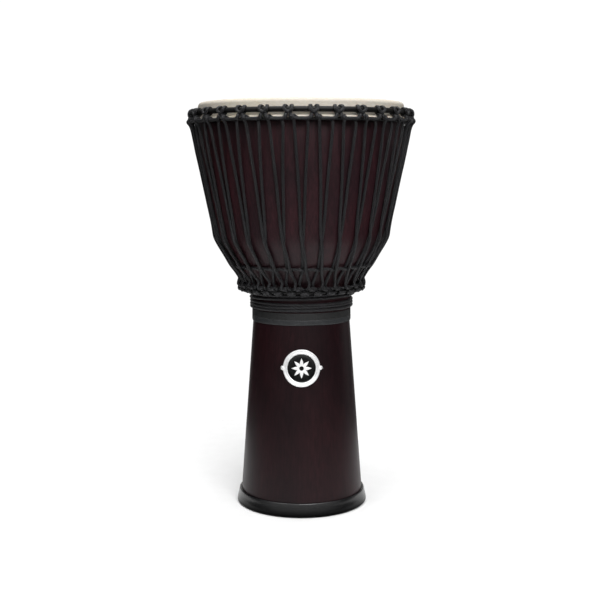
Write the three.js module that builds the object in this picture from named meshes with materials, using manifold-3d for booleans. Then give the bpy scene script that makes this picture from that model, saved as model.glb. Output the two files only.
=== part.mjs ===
// A rope-tuned djembe: a wooden bowl on a conical stem, a skin head pulled down by a crown ring,
// and ropes laced between the crown ring and a bottom ring. Millimetres, +Z up, front facing -Y.
// Origin: the centre of the round base, on the surface that the drum stands on.
import * as THREE from 'three';
import { mergeVertices } from 'three/addons/utils/BufferGeometryUtils.js';
import Module from 'manifold-3d';

// Overall
const HEIGHT = 635;
const HEAD_DIAMETER = 317.5;
const CLEARANCE = 0.3;
const LATHE_STEPS = 36;

// Bowl
const RIM_RADIUS = HEAD_DIAMETER / 2;
const SKIN_THICKNESS = 0.9;
const RIM_TOP = HEIGHT - SKIN_THICKNESS - CLEARANCE;
const BELLY_TOP = 602;
const KNEE_RADIUS = 131.2;
const KNEE_HEIGHT = 426;
const BOWL_WALL = 11.5;
const CONE_SLOPE = 0.657;
const CONE_START = 415;
const CONE_START_RADIUS = 126.2;
const NECK_RADIUS = 77.2;
const NECK_TOP = 331;
const JOINT_HEIGHT = 300;
const SOCKET_RADIUS = 68.3;
const SOCKET_TOP = 322;
const THROAT_RADIUS = 61;

// Stem
const STEM_TOP_RADIUS = 76.5;
const STEM_BASE_RADIUS = 98.8;
const STEM_BASE = 4.3;
const STEM_WALL = 12.5;
const TENON_RADIUS = SOCKET_RADIUS - CLEARANCE;
const TENON_TOP = SOCKET_TOP - CLEARANCE;

// Rubber foot and neck band
const FOOT_RADIUS = 104.6;
const FOOT_HEIGHT = 22;
const FOOT_FLOOR = 4;
const BAND_RADIUS = 78.6;
const BAND_BOTTOM = 295.7;
const BAND_TOP = 314.3;
const BAND_GROOVE = 303.5;

// Head, hoop and rings
const CORNER_RADIUS = 6;
const HOOP_DIAMETER = 5.5;
const HOOP_RADIUS = 163.3;
const HOOP_HEIGHT = 606.6;
const CROWN_ROD = 8;
const CROWN_RADIUS = 168.7;
const CROWN_HEIGHT = 618;
const BOTTOM_ROD = 7;
const BOTTOM_RADIUS = 92.5;
const BOTTOM_HEIGHT = 349;

// Ropes
const LOOPS = 30;
const PITCH = 360 / LOOPS;
const BOTTOM_TURN = 3;
const CRADLE_ROPE = 3.6;
const LACING_ROPE = 4.5;
const ROPE_SIDES = 4;
const ROPE_GAP = 0.35;
const ROW_HEIGHT = 384.3;
const CROSSING_HEIGHT = 420;

// Badge
const BADGE_HEIGHT = 230.5;
const BADGE_DIAMETER = 58;
const BADGE_THICKNESS = 1.2;
const BADGE_FACE_DIAMETER = 45;
const RIVET_DIAMETER = 5;
const RIVET_SHANK = 2.4;
const RIVET_SPACING = 58;
const RIVET_EAR = 8;

const wasm = await Module();
wasm.setup();

const drum = new THREE.Group();

function material(color, roughness, metalness) {
  return new THREE.MeshStandardMaterial({ color, roughness, metalness });
}

function addMesh(name, geometry, look) {
  const mesh = new THREE.Mesh(geometry, look);
  mesh.name = name;
  drum.add(mesh);
  return mesh;
}

// A ring or shell turned about the vertical axis. The outline runs anticlockwise in (radius, height).
function turned(outline, steps = LATHE_STEPS, firstBearing = 0) {
  const closed = [...outline, outline[0]].map(([r, z]) => new THREE.Vector2(r, z));
  const geometry = new THREE.LatheGeometry(closed, steps, THREE.MathUtils.degToRad(firstBearing));
  geometry.rotateX(Math.PI / 2);
  return geometry;
}

// A point at a bearing from the front (degrees, towards +X), a radius and a height.
function polar(bearing, radius, height) {
  const angle = THREE.MathUtils.degToRad(bearing);
  return new THREE.Vector3(radius * Math.sin(angle), -radius * Math.cos(angle), height);
}

// A point beside a bearing by some millimetres around the drum.
function beside(bearing, offset, radius, height) {
  return polar(bearing + THREE.MathUtils.radToDeg(offset / radius), radius, height);
}

// A route that passes through each of its points at an equal step of its parameter.
class RopeRoute extends THREE.CatmullRomCurve3 {
  getPointAt(u, target) {
    return this.getPoint(u, target);
  }
  getTangentAt(u, target) {
    return this.getTangent(u, target);
  }
}

function rope(points, diameter, sides = ROPE_SIDES) {
  const section = new THREE.Shape();
  for (let i = 0; i < sides; i += 1) {
    const angle = (2 * Math.PI * (i + 0.5)) / sides;
    const x = (diameter / 2) * Math.cos(angle);
    const y = (diameter / 2) * Math.sin(angle);
    if (i === 0) section.moveTo(x, y);
    else section.lineTo(x, y);
  }
  section.closePath();
  const route = new RopeRoute(points, false, 'centripetal');
  return new THREE.ExtrudeGeometry(section, {
    steps: points.length - 1,
    bevelEnabled: false,
    curveSegments: 1,
    extrudePath: route,
  });
}

// The outside of the bowl: straight rim, curved belly, rounded knee, straight cone, rounded neck.
const belly = new THREE.CubicBezierCurve(
  new THREE.Vector2(RIM_RADIUS, BELLY_TOP),
  new THREE.Vector2(RIM_RADIUS, 545),
  new THREE.Vector2(145.5, 484),
  new THREE.Vector2(KNEE_RADIUS, KNEE_HEIGHT),
);

function coneRadius(height) {
  return CONE_START_RADIUS - CONE_SLOPE * (CONE_START - height);
}

function bowlRadius(height) {
  if (height >= BELLY_TOP) return RIM_RADIUS;
  if (height >= KNEE_HEIGHT) {
    let low = 0;
    let high = 1;
    for (let i = 0; i < 30; i += 1) {
      const middle = (low + high) / 2;
      if (belly.getPoint(middle).y > height) low = middle;
      else high = middle;
    }
    return belly.getPoint(low).x;
  }
  if (height >= CONE_START) {
    const share = (height - CONE_START) / (KNEE_HEIGHT - CONE_START);
    return THREE.MathUtils.lerp(CONE_START_RADIUS, KNEE_RADIUS, share);
  }
  return Math.max(NECK_RADIUS, coneRadius(height));
}

function bowlShell() {
  const rounding = 5;
  const bellyHeights = [560, 515, 470];
  const innerHeights = [424, 470, 515, 560];
  const coneFoot = 347;
  const outline = [
    [SOCKET_RADIUS, JOINT_HEIGHT],
    [NECK_RADIUS, JOINT_HEIGHT],
    [NECK_RADIUS, NECK_TOP],
    [79, 339],
    [coneRadius(coneFoot) + 0.4, coneFoot],
    [CONE_START_RADIUS, CONE_START],
    [KNEE_RADIUS, KNEE_HEIGHT],
    ...bellyHeights.reverse().map((z) => [bowlRadius(z), z]),
    [RIM_RADIUS, BELLY_TOP],
    [RIM_RADIUS, RIM_TOP - rounding],
    [RIM_RADIUS - rounding * 0.3, RIM_TOP - rounding * 0.3],
    [RIM_RADIUS - rounding, RIM_TOP],
    [RIM_RADIUS - BOWL_WALL, RIM_TOP - 4],
    ...innerHeights.reverse().map((z) => [bowlRadius(z) - BOWL_WALL, z]),
    [coneRadius(410) - BOWL_WALL - 2, 410],
    [THROAT_RADIUS + 5, 350],
    [THROAT_RADIUS, 338],
    [THROAT_RADIUS, SOCKET_TOP],
    [SOCKET_RADIUS, SOCKET_TOP],
  ];
  return turned(outline);
}

function stemRadius(height) {
  return STEM_TOP_RADIUS + (STEM_BASE_RADIUS - STEM_TOP_RADIUS) * (1 - height / JOINT_HEIGHT);
}

function stemBore(height) {
  return stemRadius(height) - STEM_WALL - (1.2 * height) / JOINT_HEIGHT;
}

function stemShell() {
  const shoulder = JOINT_HEIGHT - CLEARANCE;
  return turned([
    [stemBore(STEM_BASE), STEM_BASE],
    [stemRadius(STEM_BASE), STEM_BASE],
    [stemRadius(150), 150],
    [stemRadius(shoulder), shoulder],
    [TENON_RADIUS, shoulder],
    [TENON_RADIUS, TENON_TOP],
    [THROAT_RADIUS, TENON_TOP],
    [stemBore(150), 150],
  ]);
}

// A rubber channel that cups the lower edge of the stem.
function rubberFoot() {
  const innerLip = 15;
  const inner = stemBore(innerLip) - CLEARANCE;
  const outer = stemRadius(0) + CLEARANCE;
  const wall = 3;
  return turned([
    [inner - wall, 0],
    [FOOT_RADIUS, 0],
    [FOOT_RADIUS, 3],
    [FOOT_RADIUS - 2.2, 12],
    [FOOT_RADIUS - 4.2, 18.5],
    [outer + 0.9, FOOT_HEIGHT],
    [stemRadius(FOOT_HEIGHT) + CLEARANCE, FOOT_HEIGHT],
    [outer, FOOT_FLOOR],
    [inner, FOOT_FLOOR],
    [inner, innerLip],
    [inner - wall, innerLip],
  ]);
}

function neckBand() {
  const inner = NECK_RADIUS + CLEARANCE;
  return turned([
    [inner, BAND_BOTTOM],
    [BAND_RADIUS - 0.4, BAND_BOTTOM],
    [BAND_RADIUS, BAND_GROOVE - 0.8],
    [BAND_RADIUS - 0.4, BAND_GROOVE],
    [BAND_RADIUS, BAND_GROOVE + 0.8],
    [BAND_RADIUS, BAND_TOP],
    [inner, BAND_TOP],
  ]);
}

// The skin: a disc, a rounded corner, a side and a hem that wraps the flesh hoop from below.
function headSkin() {
  const side = RIM_RADIUS + CLEARANCE;
  const outer = side + SKIN_THICKNESS;
  const hollow = HOOP_DIAMETER / 2 + 1.5 * CLEARANCE;
  const wrap = hollow + SKIN_THICKNESS;
  const hem = (radius, angle) => [
    HOOP_RADIUS + radius * Math.cos(THREE.MathUtils.degToRad(angle)),
    HOOP_HEIGHT + radius * Math.sin(THREE.MathUtils.degToRad(angle)),
  ];
  const corner = (radius, angle) => [
    outer - CORNER_RADIUS + radius * Math.cos(THREE.MathUtils.degToRad(angle)),
    HEIGHT - CORNER_RADIUS + radius * Math.sin(THREE.MathUtils.degToRad(angle)),
  ];
  const hemAngles = [225, 270, 315, 360, 405, 435];
  const outline = [
    [0, HEIGHT - SKIN_THICKNESS],
    corner(CORNER_RADIUS - SKIN_THICKNESS, 90),
    corner(CORNER_RADIUS - SKIN_THICKNESS, 45),
    [side, HEIGHT - CORNER_RADIUS],
    [side, HOOP_HEIGHT - 0.5],
    ...hemAngles.map((angle) => hem(wrap, angle)),
    ...hemAngles.reverse().map((angle) => hem(hollow, angle)),
    [outer, HOOP_HEIGHT - 0.5],
    [outer, HEIGHT - CORNER_RADIUS],
    corner(CORNER_RADIUS, 30),
    corner(CORNER_RADIUS, 60),
    corner(CORNER_RADIUS, 90),
    [0, HEIGHT],
  ];
  const points = outline.map(([r, z]) => new THREE.Vector2(r, z));
  const geometry = new THREE.LatheGeometry(points, LATHE_STEPS);
  geometry.rotateX(Math.PI / 2);
  return geometry;
}

function rod(radius, height, diameter, sides, steps, firstBearing) {
  const outline = [];
  for (let i = 0; i < sides; i += 1) {
    const angle = (2 * Math.PI * (i + 0.5)) / sides;
    outline.push([radius + (diameter / 2) * Math.cos(angle), height + (diameter / 2) * Math.sin(angle)]);
  }
  return turned(outline, steps, firstBearing);
}

// Cow hitches round the crown ring, with a loop hanging between each pair.
// A hitch point is [offset, angle round the rod, distance from the rod's centre].
const TOP_HITCH = [
  [-2.3, -100, 7.0],
  [-2.3, -163, 7.0],
  [-2.7, -226, 7.0],
  [-3.7, -289, 7.0],
  [-5.3, -345, 7.0],
  [0, -385, 7.2],
];

// Loop points between hitches are [offset, radius, height].
const TOP_LOOP = [
  [-12.4, 170.2, 608.0],
  [-8.8, 169.7, 605.2],
  [-2, 172.6, 603.9],
  [5, 174.3, 604.9],
  [11.6, 173.2, 607.2],
];

const BOTTOM_HITCH = [
  [-2.1, 112, 6.45],
  [-2.1, 172, 6.45],
  [-2.5, 232, 6.45],
  [-3.4, 292, 6.45],
  [-4.3, 347, 6.45],
  [0, 385, 6.45],
];

const BOTTOM_LOOP = [
  [-7.2, 99.0, 354.3],
  [-3.4, 100.5, 355.8],
  [3.4, 95.6, 356.4],
  [7.2, 94.8, 355.4],
];

function hitchPoints(bearing, steps, ringRadius, ringHeight) {
  const at = ([offset, angle, reach]) => {
    const turn = THREE.MathUtils.degToRad(angle);
    const radius = ringRadius + reach * Math.cos(turn);
    return beside(bearing, offset, radius, ringHeight + reach * Math.sin(turn));
  };
  const back = steps.slice(0, -1).reverse().map(([offset, angle, reach]) => [-offset, angle, reach]);
  return [...steps, ...back].map(at);
}

function cradle(firstBearing, loop, hitch, ringRadius, ringHeight) {
  const points = [];
  for (let k = 0; k < LOOPS; k += 1) {
    const window = firstBearing + k * PITCH;
    points.push(...loop.map(([offset, radius, height]) => beside(window, offset, radius, height)));
    points.push(...hitchPoints(window + PITCH / 2, hitch, ringRadius, ringHeight));
  }
  const [offset, radius, height] = loop[0];
  points.push(beside(firstBearing, offset - ROPE_GAP, radius, height));
  return rope(points, CRADLE_ROPE);
}

// Height of the rope's middle above the bowl when it lies on the wood.
const REST = LACING_ROPE / 2 + ROPE_GAP;
const STACKED = REST + LACING_ROPE + 0.2;

// A strand's way down the bowl: [bearing, lift off the wood, height].
const OVER_STRAND = [
  [-1.6, REST + 0.5, 519],
  [-0.4, REST + 3.2, 447],
  [0.85, STACKED + 1.5, CROSSING_HEIGHT],
  [3.1, STACKED + 1.5, ROW_HEIGHT],
];

const UNDER_STRAND = [
  [2.3, REST + 0.5, 519],
  [1.75, REST + 0.5, 447],
  [0.6, REST + 1.3, CROSSING_HEIGHT],
  [-1, REST + 0.3, ROW_HEIGHT],
];

// The lacing's bight over each crown loop, from its right leg to its left leg.
const TOP_BIGHT = [
  [-10.2, 173.9, 601.5],
  [-9, 174.4, 606.6],
  [-3.4, 172.2, 609.6],
  [3.6, 169.9, 607.2],
  [9.9, 169.3, 600],
];

// The lacing's bight under each bottom loop.
const BOTTOM_BIGHT = [
  [-3.8, 97.5, 362],
  [-3.1, 95.5, 354.7],
  [0, 99.8, 349.3],
  [3.8, 100.6, 354.8],
  [3.4, 101.8, 362],
];

function strandPoints(window, strand) {
  return strand.map(([bearing, lift, height]) => polar(window + bearing, bowlRadius(height) + lift, height));
}

function lacing() {
  const points = [];
  const start = LOOPS / 2;
  for (let k = start; k < start + LOOPS; k += 1) {
    const window = k * PITCH;
    const next = window + PITCH;
    const arc = window + PITCH / 2 + BOTTOM_TURN;
    const top = TOP_BIGHT.map(([offset, radius, height]) => beside(window, offset, radius, height)).reverse();
    if (k > start) points.push(...top);
    else points.push(...top.slice(2));
    points.push(...strandPoints(window, OVER_STRAND));
    points.push(...BOTTOM_BIGHT.map(([offset, radius, height]) => beside(arc, offset, radius, height)));
    points.push(...strandPoints(next, UNDER_STRAND).reverse());
  }
  const last = TOP_BIGHT.slice(3).reverse();
  points.push(...last.map(([offset, radius, height]) => beside(start * PITCH, offset, radius, height)));
  return rope(points, LACING_ROPE);
}

// The rope woven across the strands: over the under strand and under the over strand.
function weaveRope() {
  const points = [];
  const start = LOOPS / 2;
  for (let k = start; k <= start + LOOPS; k += 1) {
    const window = k * PITCH;
    const wood = bowlRadius(ROW_HEIGHT);
    const under = polar(window - 1, wood + STACKED + 2, ROW_HEIGHT);
    const over = polar(window + 3.1, wood + REST + 0.2, ROW_HEIGHT);
    const between = polar(window + 7.6, wood + REST + 2.4, ROW_HEIGHT);
    if (k > start) points.push(under);
    if (k < start + LOOPS) points.push(over, between);
  }
  return rope(points, LACING_ROPE);
}

// Spare rope wound round the neck: three close turns, then one spaced turn below the bottom ring.
function neckWrap() {
  const stepsPerTurn = 20;
  const closeTurns = 3;
  const turns = 4.4;
  const closePitch = LACING_ROPE + 0.25;
  const bottom = BAND_TOP + LACING_ROPE / 2 + 0.6;
  const points = [];
  for (let i = 0; i <= turns * stepsPerTurn; i += 1) {
    const turn = i / stepsPerTurn;
    const spare = Math.max(0, turn - closeTurns);
    const height = bottom + closePitch * turn + 4 * THREE.MathUtils.smoothstep(spare, 0, 0.5);
    const flare = Math.max(0, height - NECK_TOP) * 0.25;
    points.push(polar(200 + turn * 360, NECK_RADIUS + LACING_ROPE / 2 + 1.55 + flare, height));
  }
  return rope(points, LACING_ROPE);
}

function toSolid(geometry) {
  geometry.deleteAttribute('normal');
  geometry.deleteAttribute('uv');
  const merged = mergeVertices(geometry);
  const vertProperties = merged.attributes.position.array;
  const triVerts = merged.index.array;
  return new wasm.Manifold(new wasm.Mesh({ numProp: 3, vertProperties, triVerts }));
}

function toGeometry(solid) {
  const { numProp, vertProperties, triVerts } = solid.getMesh();
  const geometry = new THREE.BufferGeometry();
  geometry.setAttribute('position', new THREE.BufferAttribute(vertProperties, numProp));
  geometry.setIndex(new THREE.BufferAttribute(triVerts, 1));
  geometry.computeVertexNormals();
  return geometry;
}

// A layer that follows the stem's curved side behind the badge.
function stemLayer(from, to) {
  const low = BADGE_HEIGHT - BADGE_DIAMETER;
  const high = BADGE_HEIGHT + BADGE_DIAMETER;
  const outline = [
    [stemRadius(low) + from, low],
    [stemRadius(low) + to, low],
    [stemRadius(high) + to, high],
    [stemRadius(high) + from, high],
  ];
  return toSolid(turned(outline, 72));
}

// A round cutter that points at the front of the stem.
function frontCutter(diameter, offset = 0) {
  const reach = 60;
  const cutter = new THREE.CylinderGeometry(diameter / 2, diameter / 2, reach, 32);
  cutter.translate(offset, -stemRadius(BADGE_HEIGHT), BADGE_HEIGHT);
  return toSolid(cutter);
}

function rivetFrame(side) {
  const radius = stemRadius(BADGE_HEIGHT) + CLEARANCE;
  const bearing = THREE.MathUtils.radToDeg((side * RIVET_SPACING) / 2 / radius);
  const frame = new THREE.Object3D();
  frame.position.copy(polar(bearing, radius, BADGE_HEIGHT));
  frame.quaternion.setFromUnitVectors(new THREE.Vector3(0, 1, 0), polar(bearing, 1, 0));
  frame.updateMatrix();
  return frame;
}

function rivetHole(side) {
  const hole = new THREE.CylinderGeometry(RIVET_SHANK / 2 + CLEARANCE, RIVET_SHANK / 2 + CLEARANCE, 16, 8);
  hole.applyMatrix4(rivetFrame(side).matrix);
  return toSolid(hole);
}

function rivet() {
  const headBase = BADGE_THICKNESS + CLEARANCE;
  const profile = [
    [0, -6],
    [RIVET_SHANK / 2, -6],
    [RIVET_SHANK / 2, headBase],
    [RIVET_DIAMETER / 2, headBase],
    [RIVET_DIAMETER / 2 - 0.3, headBase + 0.8],
    [RIVET_DIAMETER / 4, headBase + 1.5],
    [0, headBase + 1.7],
  ];
  return new THREE.LatheGeometry(profile.map(([r, y]) => new THREE.Vector2(r, y)), 12);
}

// The badge is a thin plate bent round the stem, with an ear for each rivet and a round recess.
function badgePlate() {
  const ears = frontCutter(RIVET_EAR, RIVET_SPACING / 2).add(frontCutter(RIVET_EAR, -RIVET_SPACING / 2));
  const blank = stemLayer(CLEARANCE, CLEARANCE + BADGE_THICKNESS);
  const recess = stemLayer(CLEARANCE + BADGE_THICKNESS / 2, 2 * BADGE_DIAMETER);
  const plate = blank.intersect(frontCutter(BADGE_DIAMETER).add(ears));
  const holes = rivetHole(1).add(rivetHole(-1));
  return toGeometry(plate.subtract(recess.intersect(frontCutter(BADGE_FACE_DIAMETER))).subtract(holes));
}

function badgeInlay() {
  const top = CLEARANCE + BADGE_THICKNESS;
  const layer = stemLayer(top - BADGE_THICKNESS / 2 + 0.15, top + 0.1);
  return toGeometry(layer.intersect(frontCutter(BADGE_FACE_DIAMETER - 2 * CLEARANCE)));
}

function drilledStem() {
  return toGeometry(toSolid(stemShell()).subtract(rivetHole(1)).subtract(rivetHole(-1)));
}

function addRivet(name, side) {
  const frame = rivetFrame(side);
  const mesh = addMesh(name, rivet(), material('#c9cacc', 0.25, 1));
  mesh.position.copy(frame.position);
  mesh.quaternion.copy(frame.quaternion);
}

addMesh('bowl_shell', bowlShell(), material('#2b1c20', 0.35, 0));
addMesh('stem_shell', drilledStem(), material('#2b1c20', 0.35, 0));
addMesh('rubber_foot', rubberFoot(), material('#151517', 0.45, 0));
addMesh('neck_band', neckBand(), material('#1b1c1e', 0.5, 0));
addMesh('head_skin', headSkin(), material('#e1dacd', 0.7, 0));
addMesh('flesh_hoop', rod(HOOP_RADIUS, HOOP_HEIGHT, HOOP_DIAMETER, 5, LATHE_STEPS, 0), material('#3a3a3c', 0.5, 1));
addMesh('crown_ring', rod(CROWN_RADIUS, CROWN_HEIGHT, CROWN_ROD, 8, LOOPS, PITCH / 2), material('#141416', 0.4, 0));
addMesh('bottom_ring', rod(BOTTOM_RADIUS, BOTTOM_HEIGHT, BOTTOM_ROD, 8, LOOPS, BOTTOM_TURN), material('#141416', 0.4, 0));
addMesh(
  'top_cradle_rope',
  cradle(180, TOP_LOOP, TOP_HITCH, CROWN_RADIUS, CROWN_HEIGHT),
  material('#1c1d1f', 0.7, 0),
);
addMesh(
  'bottom_cradle_rope',
  cradle(180 + PITCH / 2 + BOTTOM_TURN, BOTTOM_LOOP, BOTTOM_HITCH, BOTTOM_RADIUS, BOTTOM_HEIGHT),
  material('#1c1d1f', 0.7, 0),
);
addMesh('lacing_rope', lacing(), material('#1c1d1f', 0.7, 0));
addMesh('weave_rope', weaveRope(), material('#1c1d1f', 0.7, 0));
addMesh('neck_wrap_rope', neckWrap(), material('#1c1d1f', 0.7, 0));

addMesh('badge_plate', badgePlate(), material('#d4d4d6', 0.25, 1));
addMesh('badge_inlay', badgeInlay(), material('#08080a', 0.3, 0));
addRivet('badge_rivet_left', -1);
addRivet('badge_rivet_right', 1);

export default drum;
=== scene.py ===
"""The looks of a rope-tuned djembe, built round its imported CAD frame.

Lengths are in millimetres until a mesh is made, which is in metres. +Z is up and the front faces -Y.
"""

import math

import bpy
import numpy as np
from mathutils import Euler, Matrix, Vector


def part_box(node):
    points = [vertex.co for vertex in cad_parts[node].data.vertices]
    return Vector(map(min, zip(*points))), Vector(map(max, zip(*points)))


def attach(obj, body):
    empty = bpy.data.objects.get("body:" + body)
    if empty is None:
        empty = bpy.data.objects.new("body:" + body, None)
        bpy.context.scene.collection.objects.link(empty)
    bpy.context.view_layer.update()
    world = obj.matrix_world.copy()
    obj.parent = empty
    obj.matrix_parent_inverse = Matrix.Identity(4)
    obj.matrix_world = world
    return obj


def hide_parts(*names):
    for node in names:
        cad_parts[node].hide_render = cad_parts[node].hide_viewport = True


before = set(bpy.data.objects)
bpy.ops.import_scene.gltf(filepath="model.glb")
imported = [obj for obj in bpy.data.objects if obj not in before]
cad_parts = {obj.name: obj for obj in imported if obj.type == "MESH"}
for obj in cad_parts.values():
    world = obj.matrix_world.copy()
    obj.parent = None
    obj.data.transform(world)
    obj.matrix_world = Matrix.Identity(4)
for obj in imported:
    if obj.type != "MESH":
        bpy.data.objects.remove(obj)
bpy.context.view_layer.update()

MM = 0.001
BODY = "root"


def span(node):
    """Lowest and highest corner of a CAD node, in millimetres."""
    low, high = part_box(node)
    return np.array(low) / MM, np.array(high) / MM


def middle_height(node):
    low, high = span(node)
    return (low[2] + high[2]) / 2


# Places that the frame gives
RIM_RADIUS = span("bowl_shell")[1][0]
RIM_TOP = span("bowl_shell")[1][2]
JOINT_HEIGHT = span("bowl_shell")[0][2]
STEM_BASE = span("stem_shell")[0][2]
TENON_TOP = span("stem_shell")[1][2]
HEAD_TOP = span("head_skin")[1][2]
FOOT_RADIUS = span("rubber_foot")[1][0]
FOOT_HEIGHT = span("rubber_foot")[1][2]
BAND_BOTTOM = span("neck_band")[0][2]
BAND_TOP = span("neck_band")[1][2]
BAND_RADIUS = span("neck_band")[1][0]
HOOP_HEIGHT = middle_height("flesh_hoop")
CROWN_HEIGHT = middle_height("crown_ring")
BOTTOM_HEIGHT = middle_height("bottom_ring")
BADGE_HEIGHT = middle_height("badge_plate")

# Shell sizes
KNEE_RADIUS, KNEE_HEIGHT = 131.2, 426
BELLY_TOP = 602
BOWL_WALL = 11.5
CONE_SLOPE = 0.657
CONE_START, CONE_START_RADIUS = 415, 126.2
NECK_RADIUS = 77.2
NECK_TOP = 331
SOCKET_RADIUS, SOCKET_TOP = 68.3, 322
THROAT_RADIUS = 61
STEM_TOP_RADIUS, STEM_BASE_RADIUS = 76.5, 98.8
STEM_WALL = 12.5
STEM_MIDDLE = 150
CLEARANCE = 0.3
BAND_GROOVE = 303.5

# Head, hoop and rings
SKIN = 0.9
HOOP_RADIUS, HOOP_ROD = 163.3, 5.5
CROWN_RADIUS, CROWN_ROD = 168.7, 8
BOTTOM_RADIUS, BOTTOM_ROD = 92.5, 7

# Ropes
LOOPS = 30
PITCH = 360 / LOOPS
BOTTOM_TURN = 3
LACING_ROPE = 4.5
ROW_HEIGHT = 384.3
CROSSING = 427.5
KNOT_HEIGHT = 595

# Badge
BADGE_RADIUS = 28.8
BADGE_FACE_RADIUS = 21.8
RIVET_DISTANCE = 29
RIVET_RADIUS = 2.8


# ---------------------------------------------------------------- meshes

def grid_mesh(name, grid, u, v, closed_rows=False, caps=True):
    """A skin of quads over points laid out by row and column, wrapped round its columns.

    u holds one value more than there are columns. v holds one per row, and one more if the rows close.
    """
    rows, columns = grid.shape[:2]
    row = np.arange(rows if closed_rows else rows - 1)
    r0, c0 = np.meshgrid(row, np.arange(columns), indexing="ij")
    r1, c1 = (r0 + 1) % rows, (c0 + 1) % columns
    corners = [(r0, c0), (r0, c1), (r1, c1), (r1, c0)]
    quads = np.stack([r * columns + c for r, c in corners], -1).reshape(-1, 4)
    places = [(c0, r0), (c0 + 1, r0), (c0 + 1, r0 + 1), (c0, r0 + 1)]
    uv = np.stack([np.stack([u[a], v[b]], -1) for a, b in places], -2).reshape(-1, 2)
    loops = quads.ravel()
    starts = np.arange(len(quads)) * 4
    if caps and not closed_rows:
        first = np.arange(columns)[::-1]
        last = np.arange(columns) + (rows - 1) * columns
        starts = np.append(starts, [len(loops), len(loops) + columns])
        loops = np.concatenate([loops, first, last])
        uv = np.concatenate([uv, np.zeros((2 * columns, 2))])
    mesh = bpy.data.meshes.new(name)
    mesh.vertices.add(rows * columns)
    mesh.vertices.foreach_set("co", (grid * MM).astype(np.float32).ravel())
    mesh.loops.add(len(loops))
    mesh.loops.foreach_set("vertex_index", loops.astype(np.int32))
    mesh.polygons.add(len(starts))
    mesh.polygons.foreach_set("loop_start", starts.astype(np.int32))
    mesh.uv_layers.new(name="UVMap").uv.foreach_set("vector", uv.astype(np.float32).ravel())
    mesh.update(calc_edges=True)
    mesh.validate()
    mesh.shade_smooth()
    piece = bpy.data.objects.new(name, mesh)
    bpy.context.scene.collection.objects.link(piece)
    return piece


def finish_piece(piece, material, slot, *nodes):
    piece.data.materials.append(material)
    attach(piece, BODY)
    if nodes:
        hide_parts(*nodes)
    return piece


def rounded(corners, fine=1.0, coarse=8.0):
    """An outline through (radius, height, rounding) corners, with short steps near the corners."""
    places = [np.array(c[:2], float) for c in corners]
    rounds = [c[2] if len(c) > 2 else 0.0 for c in corners]
    count = len(places)
    arcs = []
    for i, here in enumerate(places):
        before, after = places[i - 1] - here, places[(i + 1) % count] - here
        if rounds[i] == 0:
            arcs.append([here])
            continue
        reach = min(rounds[i], 0.45 * np.linalg.norm(before), 0.45 * np.linalg.norm(after))
        start = here + before / np.linalg.norm(before) * reach
        end = here + after / np.linalg.norm(after) * reach
        shares = np.linspace(0, 1, 7)
        arcs.append([(1 - t) ** 2 * start + 2 * t * (1 - t) * here + t * t * end for t in shares])
    outline = []
    for i, arc in enumerate(arcs):
        outline.extend(arc)
        start, end = arc[-1], arcs[(i + 1) % count][0]
        length = np.linalg.norm(end - start)
        if length > 3 * fine:
            inner = np.linspace(fine, length - fine, max(2, int(length / coarse) + 1))
            outline.extend(start + (end - start) * d / length for d in inner)
    return np.array(outline)


def turned(name, outline, steps=240, wobble=None):
    """A shell turned about the vertical axis from a closed outline that runs anticlockwise."""
    bearing = np.arange(steps) * 2 * math.pi / steps
    radius = np.repeat(outline[:, :1], steps, axis=1)
    height = np.repeat(outline[:, 1:2], steps, axis=1)
    if wobble:
        radius, height = wobble(radius, height, bearing[None, :])
    grid = np.stack([radius * np.sin(bearing), -radius * np.cos(bearing), height], -1)
    closed = np.vstack([outline, outline[:1]])
    along = np.concatenate([[0], np.cumsum(np.linalg.norm(np.diff(closed, axis=0), axis=1))]) / 100
    return grid_mesh(name, grid, np.linspace(0, 1, steps + 1), along, closed_rows=True)


# ---------------------------------------------------------------- shell shapes

def bowl_radius(height):
    """Outside of the bowl. The belly is a Bezier curve from the rim to the knee."""
    share = np.linspace(0, 1, 400)
    r = (RIM_RADIUS, RIM_RADIUS, 145.5, KNEE_RADIUS)
    z = (BELLY_TOP, 545, 484, KNEE_HEIGHT)
    weights = [(1 - share) ** 3, 3 * share * (1 - share) ** 2, 3 * share ** 2 * (1 - share), share ** 3]
    curve_r = sum(w * p for w, p in zip(weights, r))
    curve_z = sum(w * p for w, p in zip(weights, z))
    height = np.asarray(height, float)
    belly = np.interp(height, curve_z[::-1], curve_r[::-1])
    share = (height - CONE_START) / (KNEE_HEIGHT - CONE_START)
    knee = CONE_START_RADIUS + (KNEE_RADIUS - CONE_START_RADIUS) * share
    cone = np.maximum(NECK_RADIUS, CONE_START_RADIUS - CONE_SLOPE * (CONE_START - height))
    return np.where(height >= KNEE_HEIGHT, belly, np.where(height >= CONE_START, knee, cone))


def stem_radius(height):
    return STEM_TOP_RADIUS + (STEM_BASE_RADIUS - STEM_TOP_RADIUS) * (1 - height / JOINT_HEIGHT)


def stem_bore(height):
    return stem_radius(height) - STEM_WALL - 1.2 * height / JOINT_HEIGHT


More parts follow.
